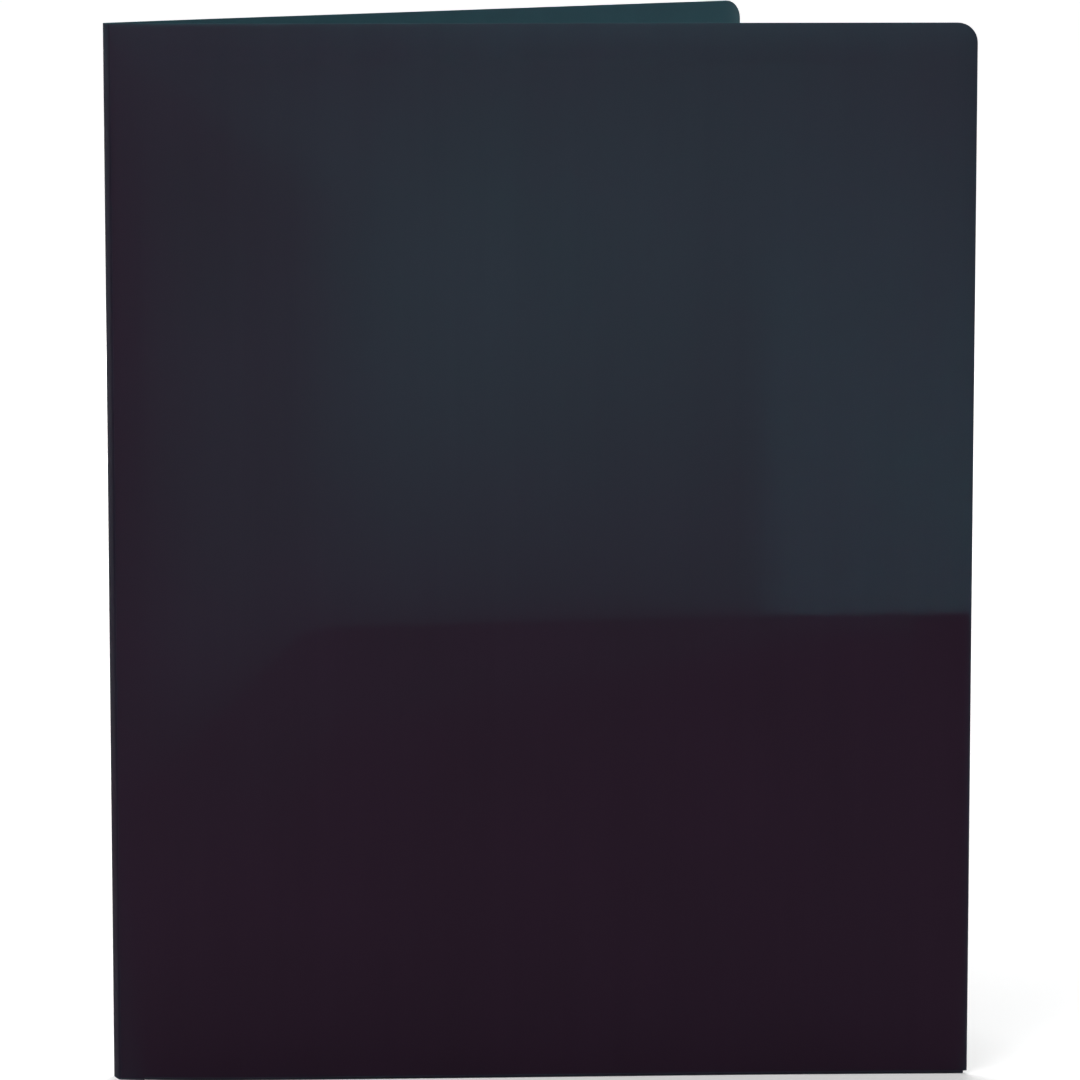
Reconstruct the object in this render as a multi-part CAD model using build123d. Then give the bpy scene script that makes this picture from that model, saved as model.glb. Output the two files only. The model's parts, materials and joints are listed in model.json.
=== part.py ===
from build123d import *
import os
from math import hypot

# Two pocket folder, standing open like a greeting card.
# One die-cut sheet of polypropylene: two covers on a narrow scored spine, and on each cover a pocket
# folded up from the bottom edge, whose side tab is turned in and stuck to the cover.
# Millimetres, +Z up, front cover facing -Y, spine at the -X end, origin at the bottom centre.

# Sheet, covers and spine
sheet = 0.5
cover_width = 239.6
cover_height = 297.0
cover_corner_radius = 5.5
spine_width = 5.0
opening_angle = 39.2

# Scores: the panels stop short of the score line, and a thin web with a round core crosses it
score_clearance = 0.15
hinge_clearance = 0.15
web_thickness = 0.2

# Pockets
pocket_height = 132.0
pocket_inset = 7.0
pocket_slant_width = 55.0
pocket_slant_height = 53.0
pocket_corner_radius = 10.0

# Side tabs and the strips that hold them
tab_width = 15.0
tab_setback = 0.4
tab_relief = 2.0
tab_slope = 6.0
tab_gap = 0.3
adhesive_thickness = 0.15
adhesive_width = 9.0
adhesive_margin = 0.6
adhesive_end_margin = 8.0

# Pocket mouth: the free part bends on a slanting line, a little for each degree that a score opens
mouth_rise = 12.0
mouth_clearance = 0.1
mouth_share = 0.14

# Layers of one cover, measured from the middle of its sheet towards the inside of the folder
score_setback = sheet / 2 + score_clearance
hinge_radius = score_setback - hinge_clearance
adhesive_low = sheet / 2
tab_low = adhesive_low + adhesive_thickness
pocket_low = tab_low + sheet + tab_gap

# Rolled folds: the bottom fold spans cover to pocket, the tab fold spans tab to pocket
bottom_fold_radius = (pocket_low + sheet + sheet / 2) / 2
bottom_fold_middle = bottom_fold_radius - sheet / 2
tab_fold_radius = (2 * sheet + tab_gap) / 2
tab_fold_middle = tab_low + tab_fold_radius

# Places along a cover, from its score line
tab_outer = cover_width - tab_setback
tab_inner = tab_outer - tab_width
tab_fold_start = tab_outer - tab_fold_radius
tab_bottom = 2 * bottom_fold_radius + tab_relief

# Bending line of the pocket mouth
mouth_middle = pocket_low + sheet / 2
mouth_start = Vector(pocket_inset, mouth_middle, bottom_fold_radius + mouth_rise)
mouth_end = Vector(tab_inner, mouth_middle, pocket_height)
mouth_along = (mouth_end - mouth_start).normalized()
mouth_across = Vector(-mouth_along.Z, 0, mouth_along.X)
mouth_line = Axis(mouth_start, mouth_along)
mouth_reach = hypot(cover_width, cover_height)
mouth_bend = mouth_share * opening_angle / 2


def panel(outline, low, thickness):
    # Flat panel: an outline along the cover and up it, from low to low + thickness through the sheet
    return Pos(0, low + thickness, 0) * extrude(Plane.XZ * outline, thickness)


def half_ring(radius):
    # Section of a rolled fold: the lower half of a ring one sheet thick
    ring = Circle(radius) - Circle(radius - sheet)
    return ring & Pos(0, -radius / 2) * Rectangle(2 * radius, radius)


def corner(outline, along, height):
    # The outline's corner that lies nearest to a point
    return outline.vertices().sort_by_distance(Vector(along, height, 0))[0]


def cover():
    outline = Polygon(
        (score_setback, 0),
        (pocket_inset, 0),
        (pocket_inset, bottom_fold_radius),
        (cover_width, bottom_fold_radius),
        (cover_width, cover_height),
        (score_setback, cover_height),
        align=None,
    )
    outline = fillet(corner(outline, cover_width, cover_height), cover_corner_radius)
    return panel(outline, -sheet / 2, sheet)


def pocket_fold():
    section = Plane.YZ * Pos(bottom_fold_middle, bottom_fold_radius) * half_ring(bottom_fold_radius)
    return Pos(pocket_inset, 0, 0) * extrude(section, tab_outer - pocket_inset)


def pocket_outline():
    outline = Polygon(
        (pocket_inset, bottom_fold_radius),
        (tab_fold_start, bottom_fold_radius),
        (tab_fold_start, pocket_height),
        (pocket_inset + pocket_slant_width, pocket_height),
        (pocket_inset, pocket_height - pocket_slant_height),
        align=None,
    )
    # The upper inner corner is cut off on a slant, with its two ends rounded
    slant_ends = [
        corner(outline, pocket_inset + pocket_slant_width, pocket_height),
        corner(outline, pocket_inset, pocket_height - pocket_slant_height),
    ]
    return fillet(slant_ends, pocket_corner_radius)


def mouth_half(edge):
    # Everything on the free side of the bending line, from a section that stands across the line
    across = Plane(mouth_start - mouth_along * mouth_reach, x_dir=mouth_across, z_dir=mouth_along)
    return extrude(across * edge, 2 * mouth_reach)


def pocket():
    setback = sheet / 2 + mouth_clearance
    cutter = Pos(mouth_reach / 2 - setback, 0) * Rectangle(mouth_reach, 2 * sheet)
    return panel(pocket_outline(), pocket_low, sheet) - mouth_half(cutter)


def pocket_mouth():
    # Its lower edge is rounded about the bending line
    edge = Pos(mouth_reach / 2, 0) * Rectangle(mouth_reach, sheet) + Circle(sheet / 2)
    flat = mouth_half(edge) & panel(pocket_outline(), pocket_low - sheet, 3 * sheet)
    return flat.rotate(mouth_line, -mouth_bend)


def tab_fold():
    section = Pos(tab_fold_start, tab_fold_middle) * Rot(0, 0, 90) * half_ring(tab_fold_radius)
    return Pos(0, 0, tab_bottom) * extrude(section, pocket_height - tab_bottom)


def pocket_tab():
    outline = Polygon(
        (tab_fold_start, tab_bottom),
        (tab_fold_start, pocket_height),
        (tab_inner, pocket_height),
        (tab_inner, tab_bottom + tab_slope),
        align=None,
    )
    return panel(outline, tab_low, sheet)


def tab_adhesive():
    start = tab_inner + adhesive_margin
    outline = Polygon(
        (start, tab_bottom + adhesive_end_margin),
        (start + adhesive_width, tab_bottom + adhesive_end_margin),
        (start + adhesive_width, pocket_height - adhesive_margin),
        (start, pocket_height - adhesive_margin),
        align=None,
    )
    return panel(outline, adhesive_low, adhesive_thickness)


def spine():
    outline = Polygon(
        (score_setback, 0),
        (spine_width - score_setback, 0),
        (spine_width - score_setback, cover_height),
        (score_setback, cover_height),
        align=None,
    )
    return panel(outline, -sheet / 2, sheet)


def hinge():
    # Thin web from the edge of the spine to the score line, with a round core on the line
    web = Pos(score_setback / 2, 0) * Rectangle(score_setback, web_thickness)
    return extrude(Circle(hinge_radius) + web, cover_height)


leaf = {
    "cover": cover(),
    "pocket_fold": pocket_fold(),
    "pocket": pocket(),
    "pocket_mouth": pocket_mouth(),
    "tab_fold": tab_fold(),
    "pocket_tab": pocket_tab(),
    "tab_adhesive": tab_adhesive(),
}

# The front score line stands at the origin for now, the spine slants back from it, and the back cover
# is the front cover's mirror image about the plane halfway between them
spine_place = Rot(0, 0, 90 + opening_angle / 2)
back_place = spine_place * Pos(spine_width, 0, 0) * Rot(0, 0, opening_angle / 2 - 90)

pieces = {
    "spine": spine_place * spine(),
    "front_hinge": spine_place * hinge(),
    "back_hinge": spine_place * Pos(spine_width, 0, 0) * Rot(0, 0, 180) * hinge(),
}
for name, solid in leaf.items():
    pieces["front_" + name] = solid
    pieces["back_" + name] = back_place * mirror(solid, about=Plane.XZ)

# The origin goes to the bottom centre of the standing folder
box = Compound(list(pieces.values())).bounding_box()
to_origin = Pos(-box.center().X, -box.center().Y, -box.min.Z)

os.makedirs("parts", exist_ok=True)
for name, solid in pieces.items():
    export_step(to_origin * solid, "parts/" + name + ".step")
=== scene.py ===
import bpy
import bmesh
import json
from math import atan2, cos, exp, pi, radians, sin, tan
from mathutils import Matrix, Vector


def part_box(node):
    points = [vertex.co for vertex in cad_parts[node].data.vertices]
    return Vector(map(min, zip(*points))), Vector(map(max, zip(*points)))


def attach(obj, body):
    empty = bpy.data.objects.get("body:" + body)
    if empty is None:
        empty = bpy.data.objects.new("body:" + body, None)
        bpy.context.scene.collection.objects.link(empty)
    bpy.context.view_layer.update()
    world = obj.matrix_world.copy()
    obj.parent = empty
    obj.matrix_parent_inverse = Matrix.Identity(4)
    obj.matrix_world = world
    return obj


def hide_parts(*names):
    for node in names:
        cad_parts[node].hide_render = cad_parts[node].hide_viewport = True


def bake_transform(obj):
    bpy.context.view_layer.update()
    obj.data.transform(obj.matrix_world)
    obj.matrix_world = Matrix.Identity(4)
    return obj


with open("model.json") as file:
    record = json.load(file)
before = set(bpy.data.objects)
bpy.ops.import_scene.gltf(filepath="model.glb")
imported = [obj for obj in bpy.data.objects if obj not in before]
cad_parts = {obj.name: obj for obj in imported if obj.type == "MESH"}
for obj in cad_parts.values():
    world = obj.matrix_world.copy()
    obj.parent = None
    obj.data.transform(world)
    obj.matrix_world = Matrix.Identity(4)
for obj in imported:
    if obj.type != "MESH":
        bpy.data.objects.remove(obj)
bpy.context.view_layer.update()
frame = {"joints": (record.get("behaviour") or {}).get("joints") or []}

# Two pocket folder in see-through polypropylene, standing open like a greeting card.
# Each leaf is modelled flat at the origin: x runs from the score to the outer edge, y goes from the
# outside to the inside, z is up. It is then bowed a little and set in its place.
# Lengths in the shapes and plans of the pieces are in millimetres.

mm = 0.001
joints = {joint["name"]: joint for joint in frame["joints"]}
frontScore = Vector(joints["front_score"]["pos_m"])
backScore = Vector(joints["back_score"]["pos_m"])
openingAngle = radians(-2 * joints["front_score"]["range_deg"][0])
spineAngle = atan2(backScore.y - frontScore.y, backScore.x - frontScore.x)
scoreFoot = Vector((frontScore.x, frontScore.y, 0))
backFoot = Vector((backScore.x, backScore.y, 0))
flip = Matrix.Diagonal((1, -1, 1, 1))
toBack = Matrix.Translation(backFoot) @ Matrix.Rotation(openingAngle, 4, "Z") @ flip


def cadBand(node):
    # Where a node of the front leaf lies, measured from the foot of the front score
    low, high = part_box(node)
    return low - scoreFoot, high - scoreFoot


coverLow, coverHigh = cadBand("front_cover")
foldLow, foldHigh = cadBand("front_pocket_fold")
pocketHigh = cadBand("front_pocket")[1]
tabLow, tabHigh = cadBand("front_pocket_tab")
tabFoldLow = cadBand("front_tab_fold")[0]
filmLow, filmHigh = cadBand("front_tab_adhesive")
sheetGauge = coverHigh.y - coverLow.y


# Modelling helpers

closeBy = 0.01 * mm           # nearer than this counts as the same place
cornerSegments = 8
rimSegments = 2
rimAngle = radians(60)        # an edge sharper than this is a cut edge
smoothAngle = radians(35)


def choose(piece):
    bpy.ops.object.select_all(action="DESELECT")
    piece.select_set(True)
    bpy.context.view_layer.objects.active = piece


def startEditing(piece):
    choose(piece)
    bpy.ops.object.mode_set(mode="EDIT")


def stopEditing():
    bpy.ops.object.mode_set(mode="OBJECT")


def pick(piece, kind, test):
    # Selects the vertices, edges or faces whose middle passes the test
    work = bmesh.from_edit_mesh(piece.data)
    bpy.ops.mesh.select_all(action="DESELECT")
    for part in getattr(work, kind):
        if kind == "verts":
            middle = part.co
        else:
            middle = sum((corner.co for corner in part.verts), Vector()) / len(part.verts)
        if test(middle, part):
            part.select_set(True)
    work.select_flush(True)
    bmesh.update_edit_mesh(piece.data)


def addPanel(name, low, high, depth):
    # A flat panel from low to high (along, up), at one depth through the leaf
    bpy.ops.object.select_all(action="DESELECT")
    middle = ((low[0] + high[0]) / 2, depth, (low[1] + high[1]) / 2)
    bpy.ops.mesh.primitive_plane_add(size=1, location=middle, rotation=(pi / 2, 0, 0))
    panel = bpy.context.active_object
    panel.name = name
    panel.scale = (high[0] - low[0], high[1] - low[1], 1)
    bpy.ops.object.transform_apply(location=True, rotation=True, scale=True)
    return panel


def roundCorner(panel, along, up, reach):
    # Rounds one corner; reach is how far along its edges the rounding goes
    spot = Vector((along, 0, up))
    pick(panel, "verts", lambda at, part: (Vector((at.x, 0, at.z)) - spot).length < closeBy)
    bpy.ops.mesh.bevel(offset=reach, offset_type="ABSOLUTE", segments=cornerSegments,
                       affect="VERTICES", profile=0.5)


def cutAcross(panel, places, along):
    # Cuts the panel into strips, along x or up z
    for place in places:
        bpy.ops.mesh.select_all(action="SELECT")
        spot = (place, 0, 0) if along else (0, 0, place)
        normal = (1, 0, 0) if along else (0, 0, 1)
        bpy.ops.mesh.bisect(plane_co=spot, plane_no=normal)


def spread(start, end, step):
    count = max(1, round((end - start) / step))
    return [start + (end - start) * turn / count for turn in range(1, count)]


def thicken(panel, gauge):
    # The rim takes the next material slot, so a cut edge can differ from the sheet's faces
    choose(panel)
    wall = panel.modifiers.new("wall", "SOLIDIFY")
    wall.thickness = gauge
    wall.offset = 0
    wall.use_even_offset = True
    wall.material_offset_rim = 1
    bpy.ops.object.modifier_apply(modifier=wall.name)


def softenRim(panel, width, seam):
    # Breaks the sharp cut edges, but not where the sheet runs on into its neighbour
    startEditing(panel)
    pick(panel, "edges", lambda at, part: len(part.link_faces) == 2
         and part.calc_face_angle(0) > rimAngle and not seam(at))
    bpy.ops.mesh.bevel(offset=width, segments=rimSegments, affect="EDGES", profile=0.5)
    stopEditing()


def dress(piece, materials):
    for material in materials:
        piece.data.materials.append(material)


def smooth(piece):
    choose(piece)
    bpy.ops.object.shade_smooth_by_angle(angle=smoothAngle)


def copyPiece(piece, name):
    twin = piece.copy()
    twin.data = piece.data.copy()
    twin.name = name
    bpy.context.scene.collection.objects.link(twin)
    return twin


# Natural lie of the sheet: it bulges out beside the score and is never quite flat

leafShape = {
    "front": {"bulge": 2.6, "bulgeAt": 40.0, "ripple": 0.30, "phase": 0.6},
    "back": {"bulge": 1.5, "bulgeAt": 44.0, "ripple": 0.26, "phase": 2.1},
}
rippleLength = {"along": 150.0, "up": 215.0}
topLoss = 0.35                # share of the bulge that is gone at the top edge


def lieOf(shape, along, up, free):
    # A part that hangs free does not follow the bulge of the cover
    reach = max(0.0, along / mm - coverLow.x / mm) / shape["bulgeAt"]
    bulge = shape["bulge"] * reach * exp(1 - reach) * (1 - topLoss * up / coverHigh.z) * (1 - free)
    swing = sin(2 * pi * along / mm / rippleLength["along"]) * sin(
        2 * pi * up / mm / rippleLength["up"] + shape["phase"])
    return (shape["ripple"] * swing * min(1.0, reach) - bulge) * mm


def settle(piece, leaf, freeShare=None):
    # Bows the flat piece and sets it on its leaf: the back leaf is the front one's mirror image
    for vertex in piece.data.vertices:
        free = freeShare(vertex.co) if freeShare else 0
        vertex.co.y += lieOf(leafShape[leaf], vertex.co.x, vertex.co.z, free)
    if leaf == "front":
        piece.data.transform(Matrix.Translation(scoreFoot))
    else:
        piece.data.transform(toBack)
        piece.data.flip_normals()
    piece.data.update()


# Materials

def hexColour(text):
    channels = [int(text[place:place + 2], 16) / 255 for place in (1, 3, 5)]
    linear = [c / 12.92 if c <= 0.04045 else ((c + 0.055) / 1.055) ** 2.4 for c in channels]
    return (*linear, 1)


def addNode(tree, kind, settings=None, **links):
    # Adds a node: settings are its own values, links are its sockets, named with underscores for
    # spaces or numbered i0, i1, i2
    node = tree.nodes.new(kind)
    for key, value in (settings or {}).items():
        setattr(node, key, value)
    for key, value in links.items():
        byNumber = key[0] == "i" and key[1:].isdigit()
        socket = node.inputs[int(key[1:]) if byNumber else key.replace("_", " ")]
        if isinstance(value, bpy.types.NodeSocket):
            tree.links.new(value, socket)
        else:
            socket.default_value = value
    return node


def startMaterial(name):
    material = bpy.data.materials.new(name)
    material.use_nodes = True
    material.node_tree.nodes.clear()
    return material, material.node_tree


def rampEnds(ramp, places, colours):
    # Where a colour ramp starts and ends, and its two colours
    for element, place, colour in zip(ramp.color_ramp.elements, places, colours):
        element.position = place
        element.color = hexColour(colour)


sheetLook = {
    "surfaceDark": "#251424",
    "surfacePale": "#281627",
    "glowDeep": "#88C2C8",
    "glowPale": "#8BC5CB",
    "passedShare": 0.25,      # of the light that meets one face
    "sheen": 0.08,
    "roughness": (0.44, 0.60),
    "index": 1.49,            # of refraction
    "surfaceEnds": (0.3, 0.7),
    "glowEnds": (0.35, 0.65),
    "grainSize": 1.1,         # mm, drawn coarser than the real 0.3 mm so that it shows
    "grainDepth": 0.03,       # mm
    "grainStrength": 0.5,
    "streakWidth": 9.0,       # mm
    "streakPull": 0.04,       # a streak is 1 / 0.04 times as long as wide
    "smudgeSize": 38.0,       # mm
}


def polypropylene(name, look):
    # Extruded polypropylene with a fine sand finish: nearly black by reflected light with a broad dull
    # sheen, and teal where light comes through, a little streaky along the way it was drawn
    material, tree = startMaterial(name)
    place = addNode(tree, "ShaderNodeTexCoord").outputs["Object"]
    grain = addNode(tree, "ShaderNodeTexNoise", Vector=place, Scale=1 / (look["grainSize"] * mm),
                    Detail=2.0, Roughness=0.6)
    smudge = addNode(tree, "ShaderNodeTexNoise", Vector=place, Scale=1 / (look["smudgeSize"] * mm),
                     Detail=4.0, Roughness=0.55)
    drawn = addNode(tree, "ShaderNodeMapping", Vector=place, Scale=(1, 1, look["streakPull"]))
    streak = addNode(tree, "ShaderNodeTexNoise", Vector=drawn.outputs["Vector"],
                     Scale=1 / (look["streakWidth"] * mm), Detail=3.0, Roughness=0.6)
    surface = addNode(tree, "ShaderNodeValToRGB", Fac=smudge.outputs["Fac"])
    rampEnds(surface, look["surfaceEnds"], (look["surfaceDark"], look["surfacePale"]))
    glow = addNode(tree, "ShaderNodeValToRGB", Fac=streak.outputs["Fac"])
    rampEnds(glow, look["glowEnds"], (look["glowDeep"], look["glowPale"]))
    shiny, dull = look["roughness"]
    finish = addNode(tree, "ShaderNodeMapRange", Value=smudge.outputs["Fac"], To_Min=shiny, To_Max=dull)
    bump = addNode(tree, "ShaderNodeBump", Height=grain.outputs["Fac"], Strength=look["grainStrength"],
                   Distance=look["grainDepth"] * mm)
    skin = addNode(tree, "ShaderNodeBsdfPrincipled", Base_Color=surface.outputs["Color"],
                   Roughness=finish.outputs["Result"], Normal=bump.outputs["Normal"],
                   IOR=look["index"], Specular_IOR_Level=look["sheen"])
    through = addNode(tree, "ShaderNodeBsdfTranslucent", Color=glow.outputs["Color"])
    both = addNode(tree, "ShaderNodeMixShader", i0=look["passedShare"], i1=skin.outputs["BSDF"],
                   i2=through.outputs["BSDF"])
    addNode(tree, "ShaderNodeOutputMaterial", Surface=both.outputs["Shader"])
    return material


# Cut edge: paler than the faces because its surface colour is painted edge glow, standing in for light
# led along inside the sheet that comes out here
cutEdgePaintedGlowLook = dict(sheetLook, surfaceDark="#2A4048", surfacePale="#324C54", glowDeep="#9CD6DC",
               glowPale="#A8DEE2", passedShare=0.34, grainSize=0.8)
# Crease and spine: the worked sheet goes slightly milky and dull
creaseLook = dict(sheetLook, surfaceDark="#251625", surfacePale="#2B1C2A", glowDeep="#92CCD4",
                  glowPale="#9CD4DB", passedShare=0.28, sheen=0.012, streakWidth=5.0)

sheetMaterial = polypropylene("sand finished polypropylene sheet", sheetLook)
# The cut edge material carries the painted edge glow in its surface colour
cutEdgePaintedGlowMaterial = polypropylene("polypropylene cut edge", cutEdgePaintedGlowLook)
creaseMaterial = polypropylene("polypropylene creased fold", creaseLook)
# Faces and folds, each followed by the material of its rim, the cut edge with its painted edge glow
sheetMaterials = [sheetMaterial, cutEdgePaintedGlowMaterial, creaseMaterial, cutEdgePaintedGlowMaterial]
sheetSlot = 0
creaseSlot = 2

filmLook = {
    "clear": "#C9CBC4",
    "milky": "#DDDDD4",
    "toneEnds": (0.1, 0.5),
    "passedShare": 0.7,
    "roughness": (0.22, 0.40),
    "index": 1.47,
    "bubbleSize": 2.5,        # mm
    "bubbleDepth": 0.02,      # mm
    "bubbleStrength": 0.4,
}


def acrylicFilm(look):
    # Acrylic transfer film, rolled on: milky, slightly tacky sheen, small trapped air marks
    material, tree = startMaterial("acrylic transfer film")
    place = addNode(tree, "ShaderNodeTexCoord").outputs["Object"]
    marks = addNode(tree, "ShaderNodeTexVoronoi", Vector=place, Scale=1 / (look["bubbleSize"] * mm))
    tone = addNode(tree, "ShaderNodeValToRGB", Fac=marks.outputs["Distance"])
    rampEnds(tone, look["toneEnds"], (look["milky"], look["clear"]))
    shiny, dull = look["roughness"]
    finish = addNode(tree, "ShaderNodeMapRange", Value=marks.outputs["Distance"], To_Min=shiny,
                     To_Max=dull)
    bump = addNode(tree, "ShaderNodeBump", Height=marks.outputs["Distance"],
                   Strength=look["bubbleStrength"], Distance=look["bubbleDepth"] * mm)
    skin = addNode(tree, "ShaderNodeBsdfPrincipled", Base_Color=tone.outputs["Color"],
                   Roughness=finish.outputs["Result"], Normal=bump.outputs["Normal"],
                   IOR=look["index"])
    through = addNode(tree, "ShaderNodeBsdfTranslucent", Color=tone.outputs["Color"])
    both = addNode(tree, "ShaderNodeMixShader", i0=look["passedShare"], i1=skin.outputs["BSDF"],
                   i2=through.outputs["BSDF"])
    addNode(tree, "ShaderNodeOutputMaterial", Surface=both.outputs["Shader"])
    return material


filmMaterial = acrylicFilm(filmLook)
print("materials made")


# Covers

coverPlan = {"cornerRadius": 5.5, "edgeSoftness": 0.07, "gridAlong": 7.0, "gridUp": 12.0}


def makeCover():
    panel = addPanel("coverSheet", (coverLow.x, 0), (coverHigh.x, coverHigh.z), 0)
    startEditing(panel)
    roundCorner(panel, coverHigh.x, coverHigh.z, coverPlan["cornerRadius"] * mm)
    cutAcross(panel, [foldLow.x] + spread(foldLow.x, coverHigh.x, coverPlan["gridAlong"] * mm), True)
    cutAcross(panel, [foldHigh.z] + spread(foldHigh.z, coverHigh.z, coverPlan["gridUp"] * mm), False)
    # The strip below the fold's start belongs to the rolled fold
    pick(panel, "faces", lambda at, part: at.x > foldLow.x and at.z < foldHigh.z)
    bpy.ops.mesh.delete(type="FACE")
    stopEditing()
    dress(panel, sheetMaterials)
    thicken(panel, sheetGauge)
    softenRim(panel, coverPlan["edgeSoftness"] * mm, lambda at: abs(at.x - coverLow.x) < closeBy
              or (abs(at.z - foldHigh.z) < closeBy and at.x > foldLow.x))
    smooth(panel)
    return panel


frontCover = makeCover()
backCover = copyPiece(frontCover, "back_cover_sheet")
frontCover.name = "front_cover_sheet"
for cover, leaf in ((frontCover, "front"), (backCover, "back")):
    settle(cover, leaf)
    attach(cover, leaf + "_leaf")
    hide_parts(leaf + "_cover")
print("covers made")


# Pockets: panel, rolled bottom fold, rolled side fold and glued tab, all one sheet

pocketPlan = {"slantWidth": 55.0, "slantHeight": 53.0, "slantRadius": 10.0, "edgeSoftness": 0.07,
              "gridAlong": 7.0, "gridUp": 9.0, "rollSteps": 10, "bendStart": -4.0, "bendEnd": 40.0,
              "tabSlope": 6.0, "weld": 0.001}
mouthLine = {leaf: joints[leaf + "_pocket_bend"] for leaf in ("front", "back")}
mouthFoot = Vector(mouthLine["front"]["pos_m"]) - scoreFoot
mouthAlong = -Vector(mouthLine["front"]["axis"])
mouthAcross = Vector((-mouthAlong.z, 0, mouthAlong.x))
mouthAngle = radians(-mouthLine["front"]["range_deg"][0])


def mouthShare(point):
    # How far a point of the pocket takes part in the bend of its mouth
    start = pocketPlan["bendStart"] * mm
    end = pocketPlan["bendEnd"] * mm
    part = ((point - mouthFoot).dot(mouthAcross) - start) / (end - start)
    part = min(1.0, max(0.0, part))
    return part * part * (3 - 2 * part)


def makePocket():
    depth = mouthFoot.y
    rollStart = tabFoldLow.x
    panel = addPanel("pocketSheet", (foldLow.x, foldHigh.z), (rollStart, pocketHigh.z), depth)
    startEditing(panel)
    # Cuts the upper inner corner off on a slant and rounds the two ends of the cut
    slantWidth = pocketPlan["slantWidth"] * mm
    slantHeight = pocketPlan["slantHeight"] * mm
    bpy.ops.mesh.select_all(action="SELECT")
    bpy.ops.mesh.bisect(plane_co=(foldLow.x + slantWidth, depth, pocketHigh.z),
                        plane_no=(-slantHeight, 0, slantWidth), clear_outer=True)
    steep = atan2(slantHeight, slantWidth)
    slantRadius = pocketPlan["slantRadius"] * mm
    roundCorner(panel, foldLow.x + slantWidth, pocketHigh.z, slantRadius * tan(steep / 2))
    roundCorner(panel, foldLow.x, pocketHigh.z - slantHeight, slantRadius * tan((pi / 2 - steep) / 2))
    cutAcross(panel, spread(foldLow.x, rollStart, pocketPlan["gridAlong"] * mm), True)
    cutAcross(panel, [tabFoldLow.z], False)
    cutAcross(panel, spread(tabFoldLow.z, pocketHigh.z, pocketPlan["gridUp"] * mm), False)
    # Rolls the bottom edge under to the cover
    pick(panel, "edges", lambda at, part: abs(at.z - foldHigh.z) < closeBy)
    bpy.ops.mesh.spin(steps=pocketPlan["rollSteps"], angle=pi, axis=(1, 0, 0),
                      center=(0, depth / 2, foldHigh.z))
    # Rolls the side edge round to the tab, and draws the tab in along the cover
    tabDepth = (tabLow.y + tabHigh.y) / 2
    pick(panel, "edges", lambda at, part: abs(at.x - rollStart) < closeBy and at.z > tabFoldLow.z
         and abs(at.y - depth) < closeBy)
    bpy.ops.mesh.spin(steps=pocketPlan["rollSteps"], angle=pi, axis=(0, 0, 1),
                      center=(rollStart, (depth + tabDepth) / 2, 0))
    bpy.ops.mesh.extrude_region_move(TRANSFORM_OT_translate={"value": (tabLow.x - rollStart, 0, 0)})
    pick(panel, "verts", lambda at, part: abs(at.x - tabLow.x) < closeBy
         and abs(at.z - tabFoldLow.z) < closeBy and abs(at.y - tabDepth) < closeBy)
    bpy.ops.transform.translate(value=(0, 0, pocketPlan["tabSlope"] * mm))
    bpy.ops.mesh.select_all(action="SELECT")
    bpy.ops.mesh.remove_doubles(threshold=pocketPlan["weld"] * mm)
    bpy.ops.mesh.normals_make_consistent(inside=False)
    stopEditing()
    dress(panel, sheetMaterials)
    for face in panel.data.polygons:
        folded = face.center.z < foldHigh.z or face.center.x > rollStart
        face.material_index = creaseSlot if folded else sheetSlot
    thicken(panel, sheetGauge)
    softenRim(panel, pocketPlan["edgeSoftness"] * mm,
              lambda at: abs(at.z - foldHigh.z) < closeBy and at.y < sheetGauge)
    smooth(panel)
    # The mouth stands a little open, in one smooth curve
    for vertex in panel.data.vertices:
        out = (vertex.co - mouthFoot).dot(mouthAcross)
        vertex.co.y += out * tan(mouthAngle * mouthShare(vertex.co))
    return panel


frontPocket = makePocket()
backPocket = copyPiece(frontPocket, "back_pocket_sheet")
frontPocket.name = "front_pocket_sheet"
for pocket, leaf in ((frontPocket, "front"), (backPocket, "back")):
    settle(pocket, leaf, mouthShare)
    foot = Vector(mouthLine[leaf]["pos_m"])
    side = -1 if leaf == "front" else 1
    along = side * Vector(mouthLine[leaf]["axis"])
    level = Vector((along.x, along.y, 0)).normalized()
    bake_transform(pocket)
    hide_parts(leaf + "_pocket_fold", leaf + "_pocket", leaf + "_pocket_mouth",
                leaf + "_tab_fold", leaf + "_pocket_tab")
print("pockets made")


# Strips of film that hold the tabs

filmPlan = {"cornerRadius": 0.8, "grid": 8.0, "edgeSoftness": 0.03, "clearance": 0.02}


def makeFilm():
    depth = (filmLow.y + filmHigh.y) / 2
    panel = addPanel("tabFilm", (filmLow.x, filmLow.z), (filmHigh.x, filmHigh.z), depth)
    startEditing(panel)
    for along in (filmLow.x, filmHigh.x):
        for up in (filmLow.z, filmHigh.z):
            roundCorner(panel, along, up, filmPlan["cornerRadius"] * mm)
    cutAcross(panel, spread(filmLow.z, filmHigh.z, filmPlan["grid"] * mm), False)
    stopEditing()
    dress(panel, [filmMaterial, filmMaterial])
    thicken(panel, filmHigh.y - filmLow.y - 2 * filmPlan["clearance"] * mm)
    softenRim(panel, filmPlan["edgeSoftness"] * mm, lambda at: False)
    smooth(panel)
    return panel


frontFilm = makeFilm()
backFilm = copyPiece(frontFilm, "back_tab_film")
frontFilm.name = "front_tab_film"
for film, leaf in ((frontFilm, "front"), (backFilm, "back")):
    settle(film, leaf)
    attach(film, leaf + "_leaf")
    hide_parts(leaf + "_tab_adhesive")
print("tab strips made")


# Spine panel and its two creases

spinePlan = {"gridAcross": 0.7, "gridUp": 12.0, "crown": 0.12, "edgeSoftness": 0.07}
creasePlan = {"steps": 10, "cutsUp": 24, "sliver": 0.002}
spineWidth = (backScore - frontScore).length
setback = coverLow.x
creaseTurn = pi - spineAngle


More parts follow.
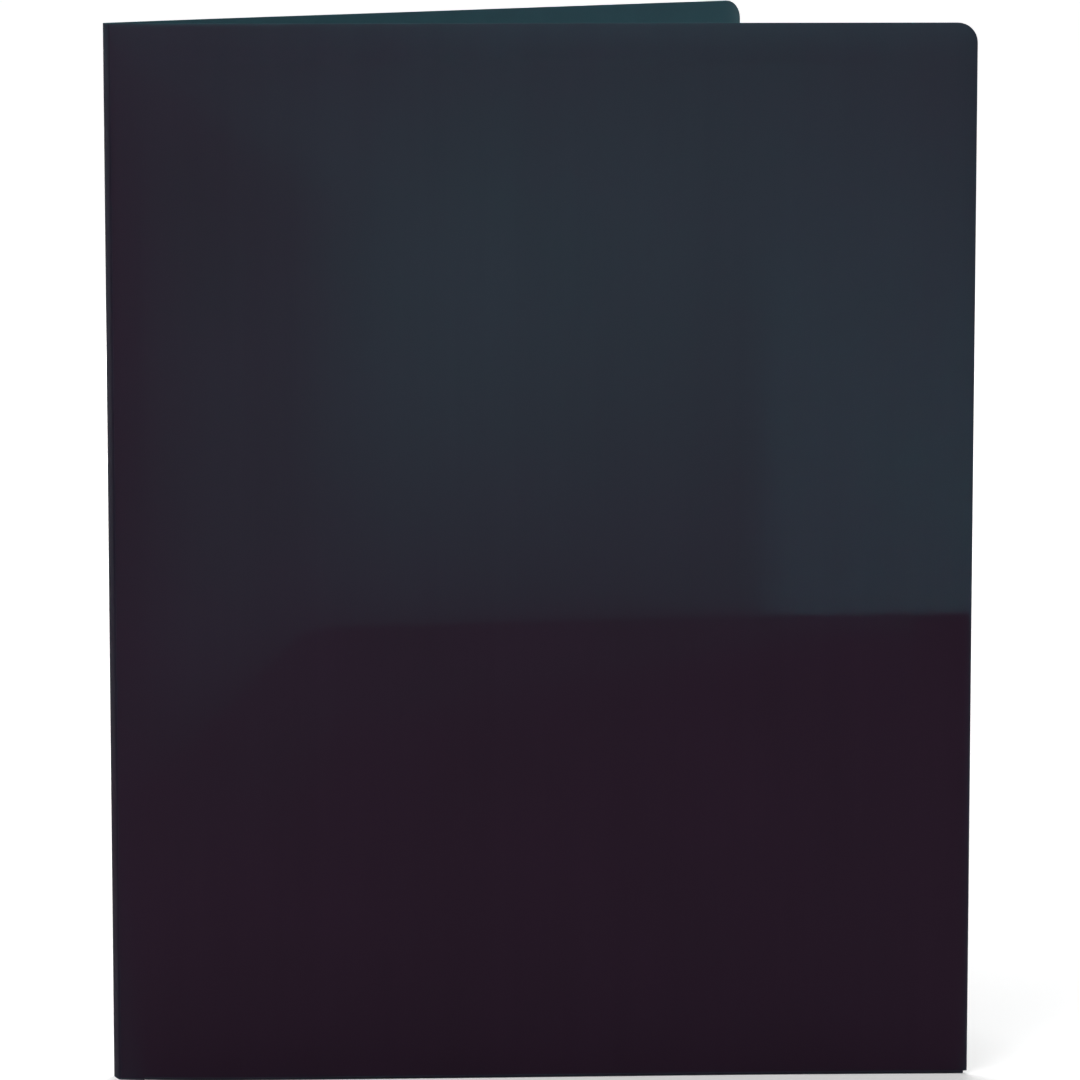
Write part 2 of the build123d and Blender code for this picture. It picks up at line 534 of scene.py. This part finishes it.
def makeSpine():
    panel = addPanel("spinePanel", (setback, 0), (spineWidth - setback, coverHigh.z), 0)
    startEditing(panel)
    cutAcross(panel, spread(setback, spineWidth - setback, spinePlan["gridAcross"] * mm), True)
    cutAcross(panel, spread(0, coverHigh.z, spinePlan["gridUp"] * mm), False)
    stopEditing()
    # The spine's rim takes the cut edge material with its painted edge glow
    dress(panel, [creaseMaterial, cutEdgePaintedGlowMaterial])
    thicken(panel, sheetGauge)
    softenRim(panel, spinePlan["edgeSoftness"] * mm,
              lambda at: min(abs(at.x - setback), abs(at.x - spineWidth + setback)) < closeBy)
    smooth(panel)
    # A slight outward crown between the creases
    for vertex in panel.data.vertices:
        across = (vertex.co.x - setback) / (spineWidth - 2 * setback)
        vertex.co.y += spinePlan["crown"] * mm * sin(pi * across)
    panel.data.transform(Matrix.Translation(scoreFoot) @ Matrix.Rotation(spineAngle, 4, "Z"))
    return panel


def makeCrease():
    # Modelled on the front score: a sliver is welded into one edge, the cover's end, which is then
    # spun round to the end of the spine panel
    sliver = creasePlan["sliver"] * mm
    panel = addPanel("crease", (setback, 0), (setback + sliver, coverHigh.z), 0)
    startEditing(panel)
    bpy.ops.mesh.select_all(action="SELECT")
    bpy.ops.mesh.remove_doubles(threshold=closeBy)
    bpy.ops.mesh.subdivide(number_cuts=creasePlan["cutsUp"])
    bpy.ops.mesh.select_all(action="SELECT")
    radius = setback / tan(creaseTurn / 2)
    bpy.ops.mesh.spin(steps=creasePlan["steps"], angle=creaseTurn, axis=(0, 0, 1),
                      center=(setback, radius, 0))
    bpy.ops.mesh.select_all(action="SELECT")
    bpy.ops.mesh.normals_make_consistent(inside=False)
    stopEditing()
    dress(panel, sheetMaterials)
    for face in panel.data.polygons:
        face.material_index = creaseSlot
    thicken(panel, sheetGauge)
    smooth(panel)
    return panel


spine = makeSpine()
spine.name = "spine_panel"
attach(spine, "spine")
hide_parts("spine")

frontCrease = makeCrease()
backCrease = copyPiece(frontCrease, "back_crease")
frontCrease.name = "front_crease"
frontCrease.data.transform(Matrix.Translation(scoreFoot))
backCrease.data.transform(toBack)
backCrease.data.flip_normals()
spineWay = (backFoot - scoreFoot).normalized()
creases = (
    (frontCrease, "front", scoreFoot, spineWay),
    (backCrease, "back", backFoot, -spineWay),
)
for crease, leaf, foot, way in creases:
    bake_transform(crease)
    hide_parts(leaf + "_hinge")
print("spine made")


# Floor, light and camera; the studio is in metres

floorLook = {"colour": "#E6E6E6", "reach": 40.0, "near": 0.4, "far": 2.4, "extraNear": 0.25,
             "extraFar": 0.92}
bpy.ops.object.select_all(action="DESELECT")
bpy.ops.mesh.primitive_plane_add(size=floorLook["reach"], location=(0, 0, 0))
floor = bpy.context.active_object
floor.name = "floor"
# White paper: camera, mirrored and passing rays see it lit up to white, most of all far off where the
# lamps do not reach, and it keeps the shadow at the foot
floorMaterial, tree = startMaterial("white paper floor")
paths = addNode(tree, "ShaderNodeLightPath")
looks = addNode(tree, "ShaderNodeMath", {"operation": "ADD"}, i0=paths.outputs["Is Camera Ray"],
                i1=paths.outputs["Is Glossy Ray"])
seen = addNode(tree, "ShaderNodeMath", {"operation": "ADD", "use_clamp": True},
               i0=looks.outputs["Value"], i1=paths.outputs["Is Transmission Ray"])
paper = addNode(tree, "ShaderNodeBsdfDiffuse", Color=hexColour(floorLook["colour"]))
place = addNode(tree, "ShaderNodeTexCoord").outputs["Object"]
apart = addNode(tree, "ShaderNodeVectorMath", {"operation": "LENGTH"}, i0=place)
lift = addNode(tree, "ShaderNodeMapRange", Value=apart.outputs["Value"], From_Min=floorLook["near"],
               From_Max=floorLook["far"], To_Min=floorLook["extraNear"], To_Max=floorLook["extraFar"])
extra = addNode(tree, "ShaderNodeEmission", Color=(1, 1, 1, 1), Strength=lift.outputs["Result"])
bright = addNode(tree, "ShaderNodeAddShader", i0=paper.outputs["BSDF"], i1=extra.outputs["Emission"])
sheet = addNode(tree, "ShaderNodeMixShader", i0=seen.outputs["Value"], i1=paper.outputs["BSDF"],
                i2=bright.outputs["Shader"])
addNode(tree, "ShaderNodeOutputMaterial", Surface=sheet.outputs["Shader"])
floorMaterial.cycles.emission_sampling = "NONE"
floor.data.materials.append(floorMaterial)

# The studio wall is pale at floor level and darker above
worldLook = {"horizon": 0.4, "overhead": 0.12, "fadeFrom": 0.05, "fadeTo": 0.225}
world = bpy.data.worlds.new("studio")
bpy.context.scene.world = world
world.use_nodes = True
tree = world.node_tree
tree.nodes.clear()
way = addNode(tree, "ShaderNodeTexCoord").outputs["Generated"]
split = addNode(tree, "ShaderNodeSeparateXYZ", Vector=way)
level = addNode(tree, "ShaderNodeMapRange", Value=split.outputs["Z"], From_Min=worldLook["fadeFrom"],
                From_Max=worldLook["fadeTo"], To_Min=worldLook["horizon"], To_Max=worldLook["overhead"])
lit = addNode(tree, "ShaderNodeBackground", Color=(1, 1, 1, 1), Strength=level.outputs["Result"])
addNode(tree, "ShaderNodeOutputWorld", Surface=lit.outputs["Background"])

# The gridded boxes send narrow beams in between the covers, for the glow in the front one; the one
# overhead reaches down into the pocket's mouth
wholeSheet = (0, 0, 0.15)
ungridded = 180.0
softboxes = {
    "frontSoftbox": {"at": (-0.3, -2.7, 1.3), "aim": wholeSheet, "size": 2.2,
                     "watts": 29.0, "spread": ungridded},
    "keySoftbox": {"at": (-1.1, -1.3, 2.2), "aim": wholeSheet, "size": 1.4,
                   "watts": 24.6, "spread": ungridded},
    "topSoftbox": {"at": (0, 0.2, 2.0), "aim": wholeSheet, "size": 0.45,
                   "watts": 25.5, "spread": ungridded},
    "rimSoftbox": {"at": (-0.95, 1.95, 0.22), "aim": wholeSheet, "size": 0.4,
                   "watts": 54.0, "spread": ungridded},
    "leftGridBox": {"at": (0.75, 0.65, 0.45), "aim": (-0.04, -0.078, 0.215), "size": 0.15,
                    "watts": 0.033, "spread": 9.0},
    "middleGridBox": {"at": (0.70, 0.85, 0.52), "aim": (-0.01, -0.078, 0.238), "size": 0.12,
                      "watts": 0.038, "spread": 10.0},
    "rightGridBox": {"at": (0.12, 1.6, 0.30), "aim": (0.11, -0.078, 0.165), "size": 0.12,
                     "watts": 0.031, "spread": 7.0},
}
for name, box in softboxes.items():
    lamp = bpy.data.lights.new(name, "AREA")
    lamp.size = box["size"]
    lamp.energy = box["watts"]
    lamp.spread = radians(box["spread"])
    holder = bpy.data.objects.new(name, lamp)
    bpy.context.scene.collection.objects.link(holder)
    holder.location = box["at"]
    holder.rotation_euler = (Vector(box["aim"]) - Vector(box["at"])).to_track_quat("-Z", "Y").to_euler()
    holder.visible_camera = False
    holder.visible_glossy = name != "rimSoftbox"

# A long lens from just above the top edge, turned a touch to the right; millimetres and degrees
cameraPlan = {"lens": 183.3, "sensor": 36.0, "along": 72.45, "standOff": 1519.3, "height": 364.15,
              "down": 7.9, "right": 1.74}
lens = bpy.data.cameras.new("camera")
lens.lens = cameraPlan["lens"]
lens.sensor_width = cameraPlan["sensor"]
camera = bpy.data.objects.new("camera", lens)
bpy.context.scene.collection.objects.link(camera)
standAt = Vector((cameraPlan["along"], -cameraPlan["standOff"], cameraPlan["height"])) * mm
camera.location = scoreFoot + standAt
camera.rotation_euler = (radians(90 - cameraPlan["down"]), 0, radians(-cameraPlan["right"]))
bpy.context.scene.camera = camera
bpy.context.scene.view_settings.view_transform = "Standard"
print("studio made")
